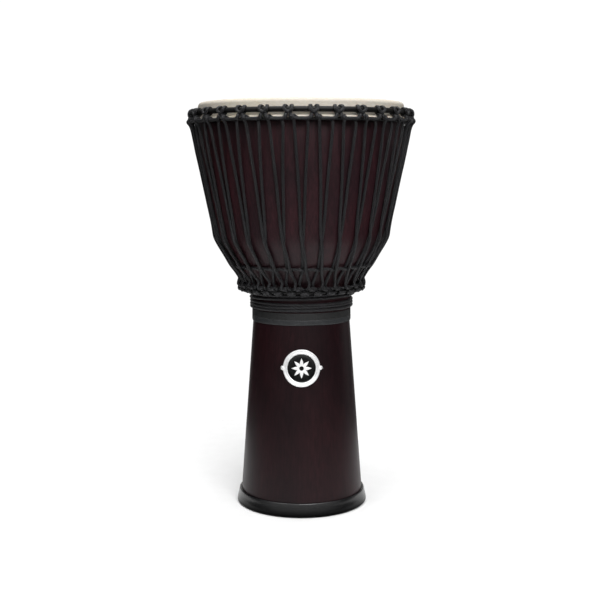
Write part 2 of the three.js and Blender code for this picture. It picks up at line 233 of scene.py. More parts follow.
def bowl_shell():
    belly = [(float(bowl_radius(z)), z) for z in range(454, 602, 8)]
    inside = [(float(bowl_radius(z)) - BOWL_WALL, z) for z in range(594, 426, -8)]
    return turned("bowl_body", rounded([
        (SOCKET_RADIUS, JOINT_HEIGHT, 0.6),
        (NECK_RADIUS, JOINT_HEIGHT, 0.6),
        (NECK_RADIUS, NECK_TOP, 9),
        (float(bowl_radius(347)) + 0.4, 347, 4),
        (CONE_START_RADIUS - CONE_SLOPE * 13, CONE_START - 13, 14),
        (KNEE_RADIUS, KNEE_HEIGHT, 14),
        *belly,
        (RIM_RADIUS, RIM_TOP, 6),
        (RIM_RADIUS - BOWL_WALL, RIM_TOP - 3, 5),
        *inside,
        (KNEE_RADIUS - BOWL_WALL - 2.5, 420, 5),
        (THROAT_RADIUS + 5, 350, 8),
        (THROAT_RADIUS, 338, 5),
        (THROAT_RADIUS, SOCKET_TOP, 0.5),
        (SOCKET_RADIUS, SOCKET_TOP, 0.3),
    ]))


def stem_shell():
    shoulder = JOINT_HEIGHT - CLEARANCE
    tenon = SOCKET_RADIUS - CLEARANCE
    return turned("stem_body", rounded([
        (stem_bore(STEM_BASE), STEM_BASE, 1),
        (stem_radius(STEM_BASE), STEM_BASE, 1),
        (stem_radius(STEM_MIDDLE), STEM_MIDDLE),
        (stem_radius(shoulder), shoulder, 0.8),
        (tenon, shoulder, 0.3),
        (tenon, TENON_TOP, 0.6),
        (THROAT_RADIUS, TENON_TOP, 0.6),
        (stem_bore(STEM_MIDDLE), STEM_MIDDLE, 20),
    ]))


def rubber_foot():
    inner = stem_bore(15) - CLEARANCE
    outer = stem_radius(0) + CLEARANCE
    wall = 3
    return turned("foot_ring", rounded([
        (inner - wall, 0, 0.8),
        (FOOT_RADIUS - 2.4, 0, 0.8),
        (FOOT_RADIUS, 2.4, 1.4),
        (FOOT_RADIUS - 0.9, 8, 4),
        (FOOT_RADIUS - 2.6, 14.5, 4),
        (FOOT_RADIUS - 3.4, FOOT_HEIGHT - 3.4, 3.2),
        (outer + 1.2, FOOT_HEIGHT, 2.4),
        (stem_radius(FOOT_HEIGHT) + CLEARANCE, FOOT_HEIGHT, 0.4),
        (outer, 4, 1),
        (inner, 4, 1),
        (inner, 15, 0.6),
        (inner - wall, 15, 0.8),
    ], fine=0.6, coarse=4))


def neck_band():
    """A moulded rubber band in two steps, with a shallow groove between and a faintly wavy lower edge."""
    inner = NECK_RADIUS + CLEARANCE

    def wobble(radius, height, bearing):
        lip = np.exp(-((height - BAND_BOTTOM) / 2.5) ** 2)
        outside = radius > inner + 0.3
        waves = 0.25 * np.sin(3 * bearing + 1) + 0.15 * np.sin(7 * bearing)
        return radius - np.where(outside, 0.1 * np.sin(5 * bearing) ** 2, 0), height + waves * lip

    return turned("neck_sleeve", rounded([
        (inner, BAND_BOTTOM, 0.3),
        (BAND_RADIUS - 0.5, BAND_BOTTOM, 0.5),
        (BAND_RADIUS, BAND_BOTTOM + 2, 0.8),
        (BAND_RADIUS, BAND_GROOVE - 0.6, 0.4),
        (BAND_RADIUS - 0.55, BAND_GROOVE, 0.4),
        (BAND_RADIUS - 0.1, BAND_GROOVE + 0.8, 0.5),
        (BAND_RADIUS - 0.2, BAND_TOP, 0.6),
        (inner, BAND_TOP, 0.3),
    ], fine=0.4, coarse=2), wobble=wobble)


def head_skin():
    """The hide: disc, rounded bearing edge, side and hem, with faint unevenness and pleats."""
    side = RIM_RADIUS + CLEARANCE
    outer = side + SKIN
    corner_radius = 6
    hollow = HOOP_ROD / 2 + 0.25
    wrap = hollow + SKIN

    def arc(centre, radius, angles):
        a = np.radians(angles)
        return np.stack([centre[0] + radius * np.cos(a), centre[1] + radius * np.sin(a)], -1)

    corner = (outer - corner_radius, HEAD_TOP - corner_radius)
    hoop = (HOOP_RADIUS, HOOP_HEIGHT)
    disc = np.linspace(1, corner[0] - 1, 40)
    drop = np.linspace(HEAD_TOP - corner_radius - 1, HOOP_HEIGHT + 2, 8)
    hem = np.linspace(215, 428, 26)
    outline = np.vstack([
        np.stack([disc, np.full(40, HEAD_TOP - SKIN)], -1),
        arc(corner, corner_radius - SKIN, np.linspace(90, 0, 9)),
        np.stack([np.full(8, side), drop], -1),
        arc(hoop, wrap, hem),
        arc(hoop, hollow, hem[::-1]),
        np.stack([np.full(8, outer), drop[::-1]], -1),
        arc(corner, corner_radius, np.linspace(0, 90, 13)),
        np.stack([disc[::-1], np.full(40, HEAD_TOP)], -1),
    ])
    steps = 360
    bearing = np.arange(steps) * 2 * math.pi / steps
    radius = np.repeat(outline[:, :1], steps, axis=1)
    height = np.repeat(outline[:, 1:2], steps, axis=1)
    low = np.clip((HEAD_TOP - 4 - height) / 20, 0, 1)
    pleats = np.sin(61 * bearing + 2 * np.sin(3 * bearing)) * (0.6 + 0.4 * np.sin(11 * bearing + 2))
    radius = radius + 0.22 * low * pleats
    broad = np.sin(2 * bearing + 0.8) + 0.6 * np.sin(5 * bearing + 2.1)
    height = height - 0.12 * (1 + broad / 2) * np.clip(radius / RIM_RADIUS, 0, 1) ** 4 * (height > 620)
    grid = np.stack([radius * np.sin(bearing), -radius * np.cos(bearing), height], -1)
    along = np.concatenate([[0], np.cumsum(np.linalg.norm(np.diff(outline, axis=0), axis=1))]) / 100
    return grid_mesh("goat_hide", grid, np.linspace(0, 1, steps + 1), along)


def ring(name, radius, height, rod, steps=300, sides=20):
    angle = np.arange(sides) * 2 * math.pi / sides
    outline = np.stack([radius + rod / 2 * np.cos(angle), height + rod / 2 * np.sin(angle)], -1)
    return turned(name, outline, steps)


# ---------------------------------------------------------------- ropes

def station(bearing, radius, height, up=(1.0, 0.0), width=LACING_ROPE, thick=None):
    """A place on a rope's route: its middle, the way that its flat side faces, width and thickness.

    up is (outwards, upwards) in the plane through the drum's axis.
    """
    angle = math.radians(bearing)
    out = (math.sin(angle), -math.cos(angle))
    thick = width if thick is None else thick
    return [radius * out[0], radius * out[1], height, up[0] * out[0], up[0] * out[1], up[1], width, thick]


def beside(bearing, offset, radius, height, **shape):
    """A station some millimetres round the drum from a bearing."""
    return station(bearing + math.degrees(offset / radius), radius, height, **shape)


def smooth_route(stations, step, closed=False):
    """A centripetal Catmull-Rom curve through the stations, sampled at an even step."""
    p = np.array(stations, float)
    p = np.vstack([p[-1:], p, p[:2]]) if closed else np.vstack([2 * p[0] - p[1], p, 2 * p[-1] - p[-2]])
    dense = []
    for a, b, c, d in zip(p[:-3], p[1:-2], p[2:-1], p[3:]):
        gaps = [max(1e-6, np.linalg.norm(x[:3] - y[:3]) ** 0.5) for x, y in ((b, a), (c, b), (d, c))]
        t0, t1 = 0.0, gaps[0]
        t2, t3 = t1 + gaps[1], t1 + gaps[1] + gaps[2]
        t = np.linspace(t1, t2, 13)[:-1, None]
        ab = (t1 - t) / (t1 - t0) * a + (t - t0) / (t1 - t0) * b
        bc = (t2 - t) / (t2 - t1) * b + (t - t1) / (t2 - t1) * c
        cd = (t3 - t) / (t3 - t2) * c + (t - t2) / (t3 - t2) * d
        abc = (t2 - t) / (t2 - t0) * ab + (t - t0) / (t2 - t0) * bc
        bcd = (t3 - t) / (t3 - t1) * bc + (t - t1) / (t3 - t1) * cd
        dense.append((t2 - t) / (t2 - t1) * abc + (t - t1) / (t2 - t1) * bcd)
    dense = np.vstack([*dense, p[-2][None, :]])
    length = np.concatenate([[0], np.cumsum(np.linalg.norm(np.diff(dense[:, :3], axis=0), axis=1))])
    count = max(4, int(round(length[-1] / step)))
    places = np.linspace(0, length[-1], count + 1)
    even = np.stack([np.interp(places, length, dense[:, i]) for i in range(dense.shape[1])], -1)
    return even[:-1] if closed else even, places


def tube(name, stations, step, sides, closed=False, seed=0):
    """A rope: an oval section swept along its route, with slightly uneven thickness and rounded ends."""
    route, along = smooth_route(stations, step, closed)
    middle, up = route[:, :3], route[:, 3:6]
    width, thick = route[:, 6], route[:, 7]
    if closed:
        tangent = np.roll(middle, -1, axis=0) - np.roll(middle, 1, axis=0)
    else:
        tangent = np.gradient(middle, axis=0)
    tangent /= np.linalg.norm(tangent, axis=1, keepdims=True)
    side = np.cross(tangent, up)
    side /= np.linalg.norm(side, axis=1, keepdims=True)
    lift = np.cross(side, tangent)
    phase = np.random.default_rng(seed).uniform(0, 2 * math.pi, 3)
    uneven = 1 + 0.018 * np.sin(along / 7.1 + phase[0]) + 0.014 * np.sin(along / 3.3 + phase[1])
    uneven = uneven[:len(route)]
    width, thick = width * uneven, thick * uneven
    if not closed:
        from_end = np.minimum(along, along[-1] - along)
        rounding = np.sqrt(np.clip(1 - (1 - np.clip(from_end / 1.8, 0, 1)) ** 2, 0.04, 1))
        width, thick = width * rounding, thick * rounding
    angle = -np.arange(sides) * 2 * math.pi / sides
    grid = (
        middle[:, None, :]
        + side[:, None, :] * (width[:, None] / 2 * np.cos(angle))[..., None]
        + lift[:, None, :] * (thick[:, None] / 2 * np.sin(angle))[..., None]
    )
    return grid_mesh(name, grid, np.linspace(0, 1, sides + 1), along / (math.pi * width.max()), closed)


# A cow hitch on a ring is [offset, angle round the rod, distance from the rod's middle, width, thickness].
TOP_HITCH = [
    (-2.4, -105, 5.8, 4.3, 3.6),
    (-2.6, -163, 5.5, 4.6, 2.9),
    (-3.4, -226, 5.3, 5.2, 2.6),
    (-4.6, -275, 5.5, 5.6, 2.9),
    (-5.8, -320, 5.8, 5.0, 3.3),
    (-5.8, -360, 6.1, 4.8, 3.6),
    (0, -394, 6.8, 5.0, 4.0),
]

# Loop places between hitches are [offset, radius, height, width, thickness].
TOP_LOOP = [
    (-14.8, 173.2, 610.8, 6.0, 5.4),
    (-13.9, 173.9, 607.6, 5.8, 5.2),
    (-10.5, 173.9, 605.6, 4.9, 4.4),
    (0, 173.8, 605.2, 4.8, 4.2),
    (10.5, 173.9, 605.4, 4.9, 4.4),
    (14.1, 173.9, 607.4, 5.8, 5.2),
    (15.0, 173.2, 610.8, 6.0, 5.4),
]

BOTTOM_HITCH = [
    (-2.2, 112, 5.7, 4.0, 3.4),
    (-2.3, 172, 5.3, 4.4, 2.9),
    (-2.6, 232, 5.0, 4.8, 2.6),
    (-3.4, 280, 5.2, 4.8, 2.7),
    (-4.2, 318, 5.9, 4.4, 3.2),
    (-4.6, 346, 7.0, 4.2, 3.6),
    (0, 338, 7.7, 6.2, 3.6),
]

BOTTOM_LOOP = [
    (-8.0, 95.4, 351.4, 4.0, 3.8),
    (-6.8, 96.8, 353.6, 4.2, 3.6),
    (-2.5, 97.4, 354.8, 4.2, 3.4),
    (3.0, 97.4, 354.9, 4.2, 3.4),
    (6.6, 97.4, 353.9, 4.2, 3.6),
    (8.2, 96.2, 351.4, 4.0, 3.8),
]


def hitch(bearing, steps, ring_radius, ring_height):
    def at(offset, angle, reach, width, thick):
        turn = math.radians(angle)
        radius = ring_radius + reach * math.cos(turn)
        height = ring_height + reach * math.sin(turn)
        facing = (math.cos(turn), math.sin(turn))
        return beside(bearing, offset, radius, height, up=facing, width=width, thick=thick)

    back = [(-offset, *rest) for offset, *rest in steps[:-1][::-1]]
    return [at(*step) for step in [*steps, *back]]


def cradle(name, first_bearing, loop, steps, ring_radius, ring_height, seed):
    stations = []
    for k in range(LOOPS):
        window = first_bearing + k * PITCH
        stations += [beside(window, o, r, z, width=w, thick=t) for o, r, z, w, t in loop]
        stations += hitch(window + PITCH / 2, steps, ring_radius, ring_height)
    return tube(name, stations, step=1.3, sides=14, closed=True, seed=seed)


# The strands hang straight from the crown loops to the belly, and lie on the wood below that.
TOUCH_HEIGHT = 474
HANG_SLOPE = 0.213


def strand_radius(height, lift):
    resting = float(bowl_radius(height)) + lift
    touch = float(bowl_radius(TOUCH_HEIGHT)) + 2.6
    hanging = touch + (height - TOUCH_HEIGHT) * HANG_SLOPE
    return max(resting, hanging) if height > TOUCH_HEIGHT else resting


# A strand's way down the bowl is [bearing, lift off the wood, height, width, thickness].
OVER_STRAND = [
    (-2.5, 2.6, 560, 4.5, 4.5),
    (-1.6, 2.6, 519, 4.5, 4.4),
    (-1.0, 2.9, 485, 4.5, 4.4),
    (-0.55, 3.3, 455, 4.6, 4.2),
    (-0.1, 4.6, 439, 4.9, 3.8),
    (0.55, 5.6, CROSSING, 5.1, 3.5),
    (1.6, 4.9, 414, 4.8, 3.9),
    (2.6, 5.6, 400, 4.6, 4.1),
    (3.5, 7.2, ROW_HEIGHT, 5.0, 3.6),
    (5.0, 6.2, 373, 4.6, 4.2),
]
UNDER_STRAND = [
    (2.85, 2.4, 560, 4.5, 4.5),
    (2.3, 2.4, 519, 4.5, 4.4),
    (2.0, 2.4, 485, 4.5, 4.4),
    (1.65, 2.4, 455, 4.6, 4.2),
    (1.2, 2.2, 439, 4.8, 4.0),
    (0.75, 2.0, CROSSING, 5.1, 3.6),
    (0.75, 2.2, 414, 4.8, 4.0),
    (0.95, 2.4, 400, 4.6, 4.1),
    (0.9, 2.4, ROW_HEIGHT, 5.0, 3.6),
    (-0.5, 3.6, 373, 4.6, 4.2),
]

# The lacing's bight over each crown loop, from its left leg to its right leg.
TOP_BIGHT = [
    (-9.8, 171.2, 597.0, 4.5, 4.4),
    (-10.3, 173.8, 601.5, 4.6, 4.0),
    (-10.9, 177.2, 605.0, 4.7, 3.0),
    (-10.4, 175.0, 608.9, 4.7, 3.0),
    (-8.2, 170.2, 607.6, 4.6, 3.0),
    (-4.6, 169.2, 605.6, 4.6, 3.0),
    (0, 169.1, 604.8, 4.6, 3.0),
    (4.8, 169.1, 604.4, 4.6, 3.0),
    (8.6, 169.6, 602.6, 4.5, 3.6),
    (9.7, 170.0, 598.0, 4.5, 4.4),
]

# The lacing's bight under each bottom loop.
BOTTOM_BIGHT = [
    (-3.4, 98.8, 362.0, 4.5, 4.2),
    (-4.6, 100.2, 357.2, 4.6, 3.6),
    (-4.3, 101.0, 354.2, 4.6, 3.2),
    (-1.8, 101.0, 352.9, 4.6, 3.0),
    (1.4, 100.9, 352.8, 4.6, 3.0),
    (3.5, 99.8, 351.8, 4.2, 3.0),
    (3.9, 97.4, 350.8, 4.0, 3.0),
    (3.7, 94.9, 353.2, 4.0, 3.0),
    (3.0, 94.4, 356.8, 4.2, 3.4),
    (2.2, 96.6, 361.5, 4.5, 4.2),
]


def lacing_rope():
    def bight(bearing, rows):
        return [beside(bearing, o, r, z, width=w, thick=t) for o, r, z, w, t in rows]

    def strand(window, rows):
        return [
            station(window + b, strand_radius(z, lift), z, up=(0.97, 0.2), width=w, thick=t)
            for b, lift, z, w, t in rows
        ]

    stations = []
    start = LOOPS // 2
    for k in range(start, start + LOOPS):
        window = k * PITCH
        top = bight(window, TOP_BIGHT[::-1])
        stations += top if k > start else top[3:]
        stations += strand(window, OVER_STRAND)
        stations += bight(window + PITCH / 2 + BOTTOM_TURN, BOTTOM_BIGHT)
        stations += strand(window + PITCH, UNDER_STRAND[::-1])
    stations += bight(start * PITCH, TOP_BIGHT[:5:-1])
    return tube("lacing_line", stations, step=2.05, sides=12, seed=3)


def weave_rope():
    """A rope that passes in front of each under strand and behind each over strand."""
    stations = []
    start = LOOPS // 2
    wood = float(bowl_radius(ROW_HEIGHT))
    for k in range(start, start + LOOPS):
        window = k * PITCH
        drop = 0.8 * math.sin(2.4 * k)
        for b, lift, rise, w, t in (
            (-5.8, 3.6, 0.9, 4.6, 4.2),
            (-3.2, 5.0, 0.6, 4.7, 4.0),
            (-0.6, 6.4, -0.1, 4.9, 3.6),
            (1.3, 5.0, -0.9, 4.6, 3.8),
            (3.4, 3.0, -0.4, 4.9, 3.6),
        ):
            stations.append(station(
                window + b, wood + lift, ROW_HEIGHT + rise + 0.3 * drop, up=(0.84, -0.54), width=w, thick=t,
            ))
    return tube("weave_line", stations, step=1.3, sides=14, closed=True, seed=4)


def neck_wrap():
    """Spare rope round the neck: three close turns, then a spaced one that tucks up behind the ring."""
    steps_per_turn, close_turns, turns = 24, 3, 4.75
    pitch = 4.4
    bottom = BAND_TOP + LACING_ROPE / 2 + 0.5
    stations = []
    for i in range(int(turns * steps_per_turn) + 1):
        turn = i / steps_per_turn
        spare = max(0.0, turn - close_turns)
        ease = min(1.0, spare / 0.5)
        height = bottom + pitch * turn + 5.2 * ease * ease * (3 - 2 * ease)
        height += 0.35 * math.sin(turn * 9.1) + 0.25 * math.sin(turn * 17.3)
        tuck = max(0.0, turn - (turns - 0.3)) / 0.3
        radius = NECK_RADIUS + LACING_ROPE / 2 + 0.2 + max(0.0, height - NECK_TOP) * 0.42
        bearing = 200 + turn * 360
        stations.append(station(bearing, radius - 0.4 * tuck, height + 3 * tuck, width=4.6, thick=4.5))
    return tube("neck_coil", stations, step=1.4, sides=14, seed=5)


def whipping(name, bearing, offset, radius, height, seed):
    """A stopper of three close turns round one of the lacing's ends."""
    turns, per_turn, reach = 3, 12, 3.9
    middle = math.radians(bearing) + offset / radius
    out = np.array([math.sin(middle), -math.cos(middle), 0])
    across = np.array([math.cos(middle), math.sin(middle), 0])
    stations = []
    for i in range(turns * per_turn + 1):
        angle = 2 * math.pi * i / per_turn
        facing = out * math.cos(angle) + across * math.sin(angle)
        place = out * radius + facing * reach
        place[2] = height + (i / per_turn - turns / 2) * (LACING_ROPE - 0.9)
        stations.append([*place, *facing, 3.7, 3.4])
    return tube(name, stations, step=0.9, sides=12, seed=seed)


# ---------------------------------------------------------------- badge

def bent(distance, direction, lift):
    """A point on the stem's side, by its distance and direction from the badge's middle."""
    across = distance * np.cos(direction)
    height = BADGE_HEIGHT + distance * np.sin(direction)
    radius = stem_radius(height) + lift
    bearing = across / stem_radius(height)
    return np.stack([radius * np.sin(bearing), -radius * np.cos(bearing), height], -1)


def badge_disc(name, rows, outline=None, steps=192):
    """A plate that follows the stem, from (distance, lift) rows that start and end in the middle."""
    direction = np.arange(steps) * 2 * math.pi / steps
    stretch = np.ones(steps) if outline is None else outline(direction)
    grid = []
    for distance, lift, follows in rows:
        grid.append(bent(distance * (1 + (stretch - 1) * follows), direction, lift))
    along = np.array([row[0] for row in rows]) / 100
    return grid_mesh(name, np.array(grid), np.linspace(0, 1, steps + 1), along)


def ear_outline(direction):
    """How far the plate's edge stands out: a circle with a small round ear at each side."""
    ear = 3.7
    across = np.abs(RIVET_DISTANCE * np.cos(direction))
    inside = ear ** 2 - (RIVET_DISTANCE * np.sin(direction)) ** 2
    reach = across + np.sqrt(np.clip(inside, 0, None))
    return np.where(inside > 0, np.maximum(reach, BADGE_RADIUS), BADGE_RADIUS) / BADGE_RADIUS


def badge_plate():
    back, top = CLEARANCE, CLEARANCE + 1.2
    face = BADGE_FACE_RADIUS
    edge = BADGE_RADIUS
    rows = [
        (0.3, back, 0),
        (face, back, 0),
        (edge - 0.5, back, 1),
        (edge, back + 0.3, 1),
        (edge, top - 0.5, 1),
        (edge - 0.2, top - 0.15, 1),
        (edge - 0.7, top + 0.1, 1),
        (edge - 1.8, top + 0.25, 0),
        (edge - 2.9, top + 0.05, 0),
        (edge - 3.3, top - 0.35, 0),
        (edge - 3.9, top - 0.4, 0),
        (edge - 4.3, top - 0.1, 0),
        (edge - 4.9, top + 0.25, 0),
        (face + 1.0, top + 0.25, 0),
        (face + 0.3, top + 0.05, 0),
        (face, top - 0.4, 0),
        (face - 0.05, back + 0.5, 0),
        (0.3, back + 0.5, 0),
    ]
    return badge_disc("badge_rim", rows, ear_outline)


def badge_inlay():
    low, top = CLEARANCE + 0.6, CLEARANCE + 1.15
    face = BADGE_FACE_RADIUS - 0.15
    rows = [
        (0.3, low, 0),
        (face, low, 0),
        (face, top - 0.15, 0),
        (face - 0.3, top, 0),
        (face * 0.75, top, 0),
        (face * 0.5, top, 0),
        (face * 0.25, top, 0),
        (0.3, top, 0),
    ]
    return badge_disc("badge_face", rows)


def badge_motif():
    """A plain eight-pointed rosette."""
    points = 8

    def star(direction):
        swing = np.abs(((direction * points / (2 * math.pi) + 0.5) % 1) - 0.5) * 2
        return 1 - 0.56 * swing ** 0.8

    low, top = CLEARANCE + 1.0, CLEARANCE + 1.5
    reach = 15.5
    rows = [
        (3.4, low, 0),
        (reach, low, 1),
        (reach, top - 0.15, 1),
        (reach - 0.3, top, 1),
        (3.7, top, 0),
        (3.4, top - 0.15, 0),
    ]
    direction = np.arange(256) * 2 * math.pi / 256
    stretch = star(direction)
    grid = np.array([bent(d * (1 + (stretch - 1) * f), direction, lift) for d, lift, f in rows])
    along = np.arange(len(rows) + 1) / 10
    return grid_mesh("badge_rosette", grid, np.linspace(0, 1, 257), along, closed_rows=True)


def rivet(name, side):
    """A domed head on a short shank, pointing out of the stem."""
    base = CLEARANCE + 1.2
    rows = [(0.2, -4), (1.2, -4), (1.2, base), (RIVET_RADIUS - 0.2, base)]
    rows += [
        (RIVET_RADIUS * math.cos(a), base + 0.3 + 1.5 * math.sin(a))
        for a in np.radians(np.linspace(0, 84, 9))
    ]
    steps = 32
    direction = np.arange(steps) * 2 * math.pi / steps
    bearing = side * RIVET_DISTANCE / stem_radius(BADGE_HEIGHT)
    out = np.array([math.sin(bearing), -math.cos(bearing), 0])
    across = np.array([math.cos(bearing), math.sin(bearing), 0])
    foot = out * stem_radius(BADGE_HEIGHT) + np.array([0, 0, BADGE_HEIGHT])
    grid = np.array([
        foot + out * lift + across * (r * np.cos(direction))[:, None]
        + np.array([0, 0, 1]) * (r * np.sin(direction))[:, None]
        for r, lift in rows
    ])
    return grid_mesh(name, grid, np.linspace(0, 1, steps + 1), np.arange(len(rows)) / 10)


# ---------------------------------------------------------------- materials

class Shader:
    """A Principled material and short ways to wire procedural nodes into it."""

    def __init__(self, name, **values):
        self.material = bpy.data.materials.new(name)
        self.material.use_nodes = True
        self.tree = self.material.node_tree
        self.surface = self.tree.nodes["Principled BSDF"]
        for key, value in values.items():
            self.surface.inputs[key.replace("_", " ")].default_value = value

    def node(self, kind, inputs=(), **settings):
        made = self.tree.nodes.new(kind)
        for key, value in settings.items():
            setattr(made, key, value)
        for key, value in dict(inputs).items():
            self.put(made.inputs[key], value)
        return made

    def put(self, socket, value):
        if isinstance(value, bpy.types.NodeSocket):
            self.tree.links.new(value, socket)
        else:
            socket.default_value = value

    def math(self, operation, a, b=0.0, c=0.0):
        return self.node("ShaderNodeMath", {0: a, 1: b, 2: c}, operation=operation).outputs[0]

    def place(self, scale=(1, 1, 1)):
        """Object coordinates in metres, stretched by scale."""
        coordinates = self.node("ShaderNodeTexCoord").outputs["Object"]
        return self.node("ShaderNodeMapping", {"Vector": coordinates, "Scale": scale}).outputs[0]

    def noise(self, vector, scale, detail=4.0, roughness=0.5, distortion=0.0):
        inputs = {
            "Vector": vector, "Scale": scale, "Detail": detail,
            "Roughness": roughness, "Distortion": distortion,
        }
        return self.node("ShaderNodeTexNoise", inputs).outputs[0]

    def ramp(self, factor, stops):
        made = self.node("ShaderNodeValToRGB", {"Fac": factor})
        elements = made.color_ramp.elements
        while len(elements) < len(stops):
            elements.new(0.5)
        for element, (position, colour) in zip(elements, stops):
            element.position = position
            element.color = (*colour, 1)
        return made.outputs[0]

    def span(self, factor, low, high):
        inputs = {"Value": factor, "To Min": low, "To Max": high}
        return self.node("ShaderNodeMapRange", inputs).outputs[0]

    def climb(self, bottom, top, low=0.0, high=1.0):
        """A value that goes from low to high between two heights in millimetres."""
        height = self.node("ShaderNodeSeparateXYZ", {0: self.place()}).outputs[2]
        inputs = {
            "Value": height, "From Min": bottom * MM, "From Max": top * MM,
            "To Min": low, "To Max": high,
        }
        return self.node("ShaderNodeMapRange", inputs).outputs[0]

    def mix(self, factor, a, b, blend="MIX"):
        made = self.node("ShaderNodeMix", data_type="RGBA", blend_type=blend)
        self.put(made.inputs[0], factor)
        self.put(made.inputs[6], a)
        self.put(made.inputs[7], b)
        return made.outputs[2]

    def colour(self, value):
        self.put(self.surface.inputs["Base Color"], value)

    def rough(self, value):
        self.put(self.surface.inputs["Roughness"], value)

    def bump(self, height, distance, strength=1.0, below=None):
        inputs = {"Height": height, "Distance": distance, "Strength": strength}
        made = self.node("ShaderNodeBump", inputs)
        if below:
            self.put(made.inputs["Normal"], below)
        self.put(self.surface.inputs["Normal"], made.outputs[0])
        return made.outputs[0]


def lacquered_wood(name, painted_light_gain, gloss, rough):
    """Dark maroon stain under a satin lacquer, with upright grain and soft cloudy patches. The stain's gain
    is painted light: the shaded bowl gets a lighter copy of the wood than the stem.
    """
    shader = Shader(name, Specular_IOR_Level=gloss)
    grain = shader.noise(shader.place((1, 1, 0.06)), 420, detail=6, roughness=0.62, distortion=0.4)
    pores = shader.noise(shader.place((1, 1, 0.035)), 1500, detail=3, roughness=0.7)
    clouds = shader.noise(shader.place((1, 1, 0.55)), 13, detail=3, roughness=0.55)
    stain = shader.ramp(grain, [
        (0.30, (0.0068 * painted_light_gain, 0.0022 * painted_light_gain, 0.0031 * painted_light_gain)),
        (0.52, (0.0125 * painted_light_gain, 0.0036 * painted_light_gain, 0.0050 * painted_light_gain)),
        (0.72, (0.0185 * painted_light_gain, 0.0052 * painted_light_gain, 0.0070 * painted_light_gain)),
    ])
    patchy = shader.ramp(clouds, [(0.34, (0.72, 0.84, 0.86)), (0.66, (1.32, 1.06, 1.08))])
    shader.colour(shader.mix(1.0, stain, patchy, "MULTIPLY"))
    blend = shader.math("MULTIPLY", shader.math("ADD", grain, clouds), 0.5)
    shader.rough(shader.span(blend, rough, rough + 0.14))
    fine = shader.bump(pores, 0.00004, 0.5)
    peel = shader.noise(shader.place(), 260, detail=2)
    shader.bump(peel, 0.00006, 0.35, below=fine)
    return shader.material


def braided_rope():
    """Sixteen-strand black polyester: two crossing sets of strands, fibres and a little dust, with painted
    sheen on the strands' crowns and painted shade in the gaps between them.
    """
    shader = Shader("braided_rope", Specular_IOR_Level=0.44, Sheen_Weight=0.03, Sheen_Roughness=0.5)
    strands, lay = 8, 6.4
    split = shader.node("ShaderNodeSeparateXYZ", {0: shader.node("ShaderNodeTexCoord").outputs["UV"]})
    around = shader.math("MULTIPLY", split.outputs[0], strands)
    along = shader.math("MULTIPLY", split.outputs[1], lay)
    right, left = shader.math("ADD", around, along), shader.math("SUBTRACT", around, along)
    profiles = []
    for way in (right, left):
        share = shader.math("FRACT", way)
        profiles.append(shader.math("SINE", shader.math("MULTIPLY", share, math.pi)))
    cells = shader.math("ADD", shader.math("FLOOR", right), shader.math("FLOOR", left))
    over = shader.math("ABSOLUTE", shader.math("MODULO", cells, 2.0))
    both = shader.math("MULTIPLY", over, profiles[0])
    other = shader.math("MULTIPLY", shader.math("SUBTRACT", 1.0, over), profiles[1])
    height = shader.math("ADD", both, other)
    fibre = shader.noise(shader.place(), 2600, detail=3, roughness=0.7)
    dust = shader.noise(shader.place(), 70, detail=3)
    # Partly painted light: the colour follows the braid's relief, lighter on the strand crowns as painted
    # sheen and darker in the gaps as painted shade; the fibre noise is the rope's own tone.
    tone = shader.math("ADD", shader.math("MULTIPLY", height, 0.55), shader.math("MULTIPLY", fibre, 0.45))
    braid_shade_and_fibre_colour = shader.ramp(tone, [
        (0.18, (0.0016, 0.0016, 0.0017)),
        (0.50, (0.0048, 0.0048, 0.0062)),
        (0.85, (0.0125, 0.0125, 0.0152)),
    ])
    dusty = shader.ramp(dust, [(0.3, (0.75,) * 3), (0.7, (1.3,) * 3)])
    shader.colour(shader.mix(1.0, braid_shade_and_fibre_colour, dusty, "MULTIPLY"))
    shader.rough(shader.span(fibre, 0.32, 0.48))
    braid = shader.bump(height, 0.00042, 0.9)
    shader.bump(fibre, 0.00008, 0.5, below=braid)
    return shader.material


